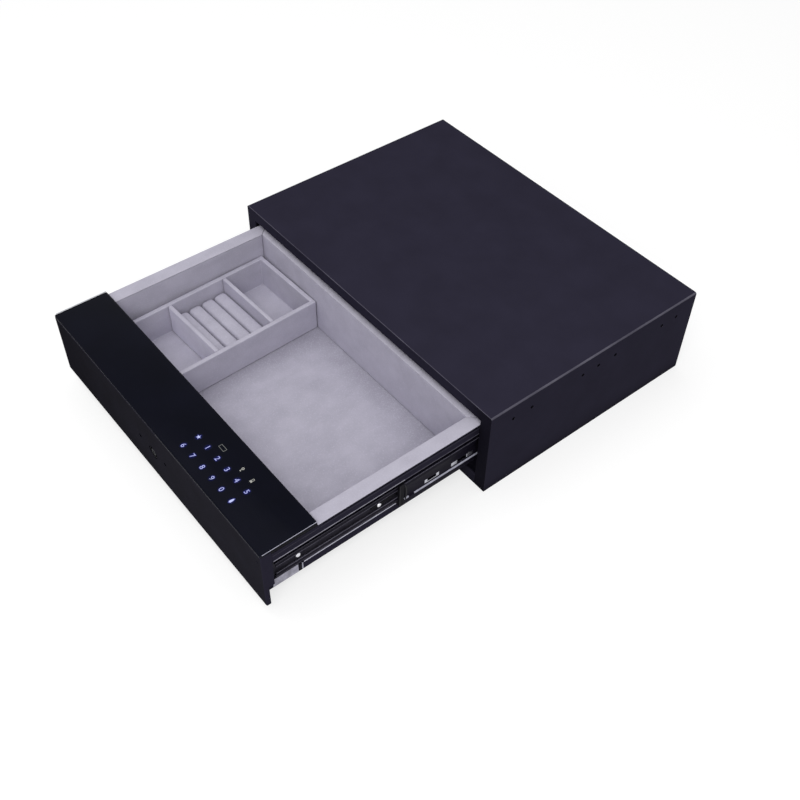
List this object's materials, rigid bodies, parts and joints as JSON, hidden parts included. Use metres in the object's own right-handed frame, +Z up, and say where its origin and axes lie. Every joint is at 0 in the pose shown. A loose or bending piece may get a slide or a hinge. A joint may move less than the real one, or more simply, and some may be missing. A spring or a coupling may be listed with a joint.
{
  "type": "under desk drawer safe",
  "caption": "Low steel drawer safe that mounts under a desk, with a touch keypad along the drawer's front edge, ball slides, a felt lining and a jewellery tray.",
  "frame": {"origin": "middle of the housing's underside", "axes": "+X to the right seen from the front, +Y from the front to the back, +Z up; the drawer is drawn pulled out towards -Y"},
  "size_m": [0.48, 0.627, 0.1265],
  "materials": {
    "black_paint": "fine textured powder coat, satin",
    "black_steel": "black coated rolled steel",
    "zinc_steel": "zinc plated steel",
    "bright_steel": "bright plated steel",
    "black_glass": "gloss black panel with a printed keypad",
    "black_plastic": "moulded black plastic",
    "buffer_rubber": "soft black rubber",
    "grey_felt": "pale grey felt with a lavender cast",
    "green_board": "circuit board",
    "cell_wrap": "plain wrapped cells"
  },
  "bodies": {
    "housing": {"housing_shell": "black_paint", "housing_base": "black_paint", "housing_back": "black_paint", "strike_plate": "zinc_steel", "slide_bracket_left": "black_steel", "slide_bracket_right": "black_steel", "cabinet_member_left": "black_steel", "cabinet_member_right": "black_steel", "rear_buffer_left": "buffer_rubber", "rear_buffer_right": "buffer_rubber"},
    "drawer": {"drawer_pan": "black_paint", "drawer_floor": "black_paint", "bulkhead": "black_paint", "fascia": "black_paint", "panel_frame": "black_plastic", "touch_panel": "black_glass", "touch_board": "green_board", "control_board": "green_board", "battery_holder": "black_plastic", "battery_cell_1": "cell_wrap", "battery_cell_2": "cell_wrap", "battery_cell_3": "cell_wrap", "battery_cell_4": "cell_wrap", "lock_motor": "zinc_steel", "key_cylinder": "black_steel", "key_nut": "zinc_steel", "lining_floor": "grey_felt", "lining_rear": "grey_felt", "lining_front": "grey_felt", "rim_lining": "grey_felt", "drawer_member_left": "black_steel", "drawer_member_right": "black_steel", "slide_screw_front_left": "bright_steel", "slide_screw_front_right": "bright_steel", "slide_screw_rear_left": "bright_steel", "slide_screw_rear_right": "bright_steel", "bolt_bush_left": "black_plastic", "bolt_bush_right": "black_plastic", "contact_stud_left": "black_steel", "contact_stud_right": "black_steel", "lining_left": "grey_felt", "lining_right": "grey_felt"},
    "middle_left": {"middle_member_left": "black_steel", "middle_bumper_left": "black_plastic"},
    "outer_cage_left": {"outer_cage_left": "zinc_steel"},
    "inner_cage_left": {"inner_cage_left": "zinc_steel"},
    "release_lever_left": {"release_lever_left": "black_plastic"},
    "middle_right": {"middle_member_right": "black_steel", "middle_bumper_right": "black_plastic"},
    "outer_cage_right": {"outer_cage_right": "zinc_steel"},
    "inner_cage_right": {"inner_cage_right": "zinc_steel"},
    "release_lever_right": {"release_lever_right": "black_plastic"},
    "lock_cam": {"lock_cam": "bright_steel"},
    "bolt_bar": {"bolt_bar": "zinc_steel"},
    "key_plug": {"key_plug": "black_steel"},
    "battery_cover": {"battery_cover": "black_plastic"},
    "tray": {"tray_box": "grey_felt", "tray_divider_front": "grey_felt", "tray_divider_rear": "grey_felt"},
    "ring_pad": {"ring_pad": "grey_felt"}
  },
  "joints": [
    {"name": "drawer_slide", "type": "slide", "parent": "housing", "child": "drawer", "axis": [0, 1, 0], "range_m": [0, 0.29]},
    {"name": "middle_left_slide", "type": "slide", "parent": "housing", "child": "middle_left", "axis": [0, 1, 0], "range_m": [0, 0.1219]},
    {"name": "outer_cage_left_slide", "type": "slide", "parent": "housing", "child": "outer_cage_left", "axis": [0, 1, 0], "range_m": [0, 0.061]},
    {"name": "inner_cage_left_slide", "type": "slide", "parent": "housing", "child": "inner_cage_left", "axis": [0, 1, 0], "range_m": [0, 0.206]},
    {"name": "middle_right_slide", "type": "slide", "parent": "housing", "child": "middle_right", "axis": [0, 1, 0], "range_m": [0, 0.1219]},
    {"name": "outer_cage_right_slide", "type": "slide", "parent": "housing", "child": "outer_cage_right", "axis": [0, 1, 0], "range_m": [0, 0.061]},
    {"name": "inner_cage_right_slide", "type": "slide", "parent": "housing", "child": "inner_cage_right", "axis": [0, 1, 0], "range_m": [0, 0.206]},
    {"name": "release_lever_left_turn", "type": "hinge", "parent": "drawer", "child": "release_lever_left", "pos_m": [-0.2107, -0.3019, 0.05509], "axis": [1, 0, 0], "range_deg": [-8, 8], "stiffness_Nm_per_rad": 0.02},
    {"name": "release_lever_right_turn", "type": "hinge", "parent": "drawer", "child": "release_lever_right", "pos_m": [0.2107, -0.3019, 0.05509], "axis": [1, 0, 0], "range_deg": [-8, 8], "stiffness_Nm_per_rad": 0.02},
    {"name": "bolt_bar_slide", "type": "slide", "parent": "drawer", "child": "bolt_bar", "axis": [0, 0, -1], "range_m": [0, 0.01]},
    {"name": "lock_cam_turn", "type": "hinge", "parent": "drawer", "child": "lock_cam", "pos_m": [0.02, -0.4275, 0.06], "axis": [0, 1, 0], "range_deg": [0, 90]},
    {"name": "key_plug_turn", "type": "hinge", "parent": "drawer", "child": "key_plug", "pos_m": [-0.001, -0.4585, 0.058], "axis": [0, 1, 0], "range_deg": [0, 90]},
    {"name": "battery_cover_slide", "type": "slide", "parent": "drawer", "child": "battery_cover", "axis": [0, 1, 0], "range_m": [0, 0.012]},
    {"name": "tray_lift", "type": "slide", "parent": "drawer", "child": "tray", "axis": [0, 0, 1], "range_m": [0, 0.04]},
    {"name": "ring_pad_lift", "type": "slide", "parent": "tray", "child": "ring_pad", "axis": [0, 0, 1], "range_m": [0, 0.018]}
  ],
  "couplings": [
    {"joint": "middle_left_slide", "follows": "drawer_slide", "ratio": 0.42},
    {"joint": "outer_cage_left_slide", "follows": "drawer_slide", "ratio": 0.21},
    {"joint": "inner_cage_left_slide", "follows": "drawer_slide", "ratio": 0.71},
    {"joint": "middle_right_slide", "follows": "drawer_slide", "ratio": 0.42},
    {"joint": "outer_cage_right_slide", "follows": "drawer_slide", "ratio": 0.21},
    {"joint": "inner_cage_right_slide", "follows": "drawer_slide", "ratio": 0.71},
    {"joint": "lock_cam_turn", "follows": "bolt_bar_slide", "rad_per_m": 157.08}
  ]
}
